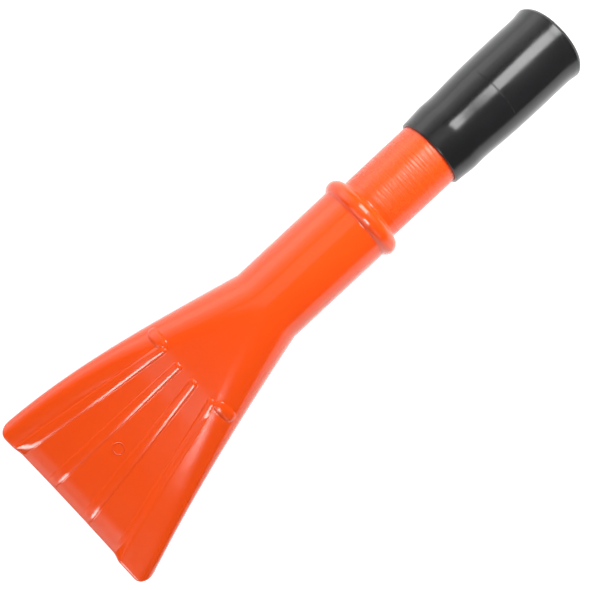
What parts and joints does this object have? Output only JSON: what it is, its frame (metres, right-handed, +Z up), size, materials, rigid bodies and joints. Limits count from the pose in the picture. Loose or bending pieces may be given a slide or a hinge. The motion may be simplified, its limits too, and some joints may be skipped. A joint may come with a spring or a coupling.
{
  "type": "vacuum claw nozzle",
  "caption": "Wide flat vacuum nozzle with a ribbed fan, round neck and stop bead, and a soft push-on cuff that takes the hose.",
  "frame": {"origin": "centre of the hose socket's mouth, on the tube axis", "axes": "+Y along the tube axis, out of the hose socket; +Z up, square to the flat of the mouth; +X across the mouth, towards the side it is shifted to"},
  "size_m": [0.1119, 0.3548, 0.0498],
  "materials": {
    "orange_plastic": "semi-gloss blow-moulded polyethylene",
    "black_vinyl": "glossy soft vinyl"
  },
  "bodies": {
    "nozzle": {"nozzle_body": "orange_plastic"},
    "cuff": {"hose_cuff": "black_vinyl"}
  },
  "joints": [
    {"name": "cuff_pull", "type": "slide", "parent": "nozzle", "child": "cuff", "axis": [0, 1, 0], "range_m": [0, 0.05]}
  ]
}
